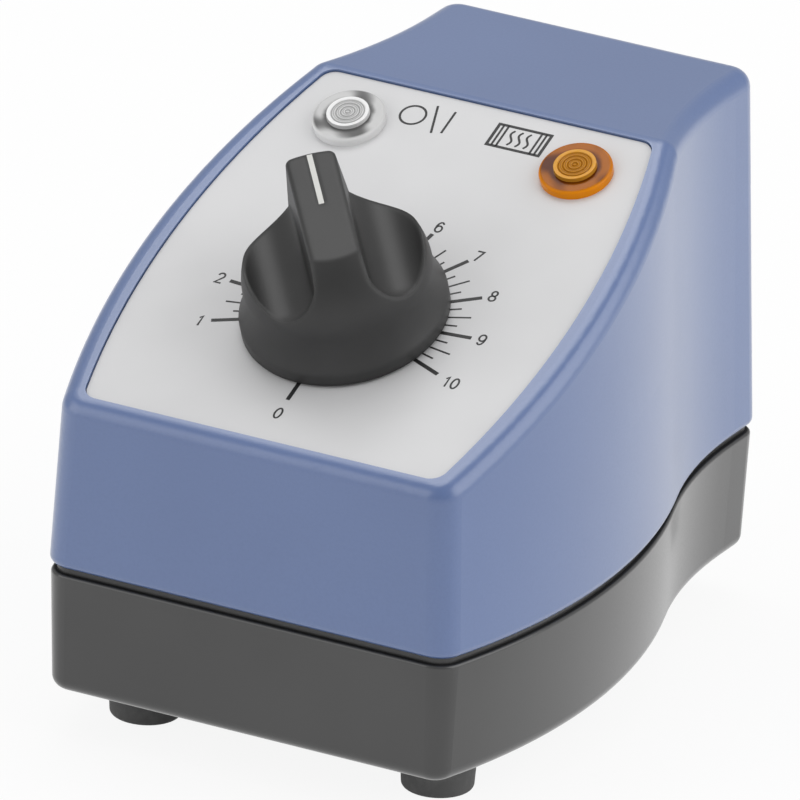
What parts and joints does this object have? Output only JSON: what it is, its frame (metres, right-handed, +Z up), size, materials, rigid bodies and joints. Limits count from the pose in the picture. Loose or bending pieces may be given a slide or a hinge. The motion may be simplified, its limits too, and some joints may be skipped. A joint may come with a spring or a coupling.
{
  "type": "bench power regulator",
  "caption": "Bench heating power regulator: moulded two-part case with sloping dial panel, pointer knob, neon lamps, rubber feet, rear fused inlet and load outlet.",
  "frame": {"origin": "ground level under the middle of the case, halfway between its front and rear faces", "axes": "+X to the right when facing the dial, +Y from the dial side to the rear sockets, +Z up"},
  "size_m": [0.1268, 0.176, 0.1412],
  "materials": {
    "dark_case": "dark grey moulded plastic, fine grain",
    "blue_case": "blue moulded plastic, fine grain",
    "label_print": "pale grey printed polyester film",
    "rubber": "black rubber",
    "zinc_steel": "zinc plated steel",
    "spring_steel": "spring steel",
    "clear_lens": "clear polycarbonate",
    "amber_lens": "amber polycarbonate",
    "white_plastic": "white moulded plastic",
    "bulb_glass": "clear glass",
    "knob_black": "black moulded plastic",
    "black_plastic": "black moulded plastic",
    "bimetal": "bimetal strip, brass side out",
    "brass": "plain brass",
    "clear_insulation": "translucent sleeve",
    "white_insulation": "white insulation",
    "brown_insulation": "brown insulation",
    "blue_insulation": "blue insulation",
    "green_insulation": "green and yellow insulation"
  },
  "bodies": {
    "case": {"base_tray": "dark_case", "top_housing": "blue_case", "front_label": "label_print", "rubber_feet": "rubber", "foot_screws": "zinc_steel", "housing_screws": "zinc_steel", "clear_lens": "clear_lens", "amber_lens": "amber_lens", "lamp_holders": "white_plastic", "lamp_clips": "spring_steel", "neon_bulbs": "bulb_glass", "lamp_leads": "white_insulation", "snap_blade": "spring_steel", "contact_rivets": "brass", "regulator_case": "black_plastic", "regulator_cover": "zinc_steel", "regulator_tabs": "brass", "bush_washer": "zinc_steel", "bush_nut": "brass", "mains_inlet": "black_plastic", "inlet_pins": "brass", "load_outlet": "black_plastic", "outlet_contacts": "brass", "socket_screws": "zinc_steel", "socket_nuts": "zinc_steel", "wire_sleeves": "clear_insulation", "live_wires": "brown_insulation", "neutral_wires": "blue_insulation", "earth_wire": "green_insulation"},
    "knob": {"control_knob": "knob_black", "pointer_line": "white_plastic", "knob_clip": "spring_steel", "control_shaft": "zinc_steel", "control_cam": "white_plastic"},
    "carriage": {"cam_follower": "white_plastic", "bimetal_strip": "bimetal"},
    "drawer": {"fuse_drawer": "black_plastic", "fuse_link": "bulb_glass"}
  },
  "joints": [
    {"name": "knob_turn", "type": "hinge", "parent": "case", "child": "knob", "pos_m": [0, -0.04225, 0.10472], "axis": [0, 0.3933, -0.9194], "range_deg": [-143.1, 147.6]},
    {"name": "carriage_slide", "type": "slide", "parent": "case", "child": "carriage", "axis": [0, 0.9194, 0.3933], "range_m": [-0.00175, 0.0018]},
    {"name": "drawer_slide", "type": "slide", "parent": "case", "child": "drawer", "axis": [0, 1, 0], "range_m": [0, 0.018]}
  ],
  "couplings": [
    {"joint": "carriage_slide", "follows": "knob_turn", "m_per_rad": 0.00070028}
  ]
}
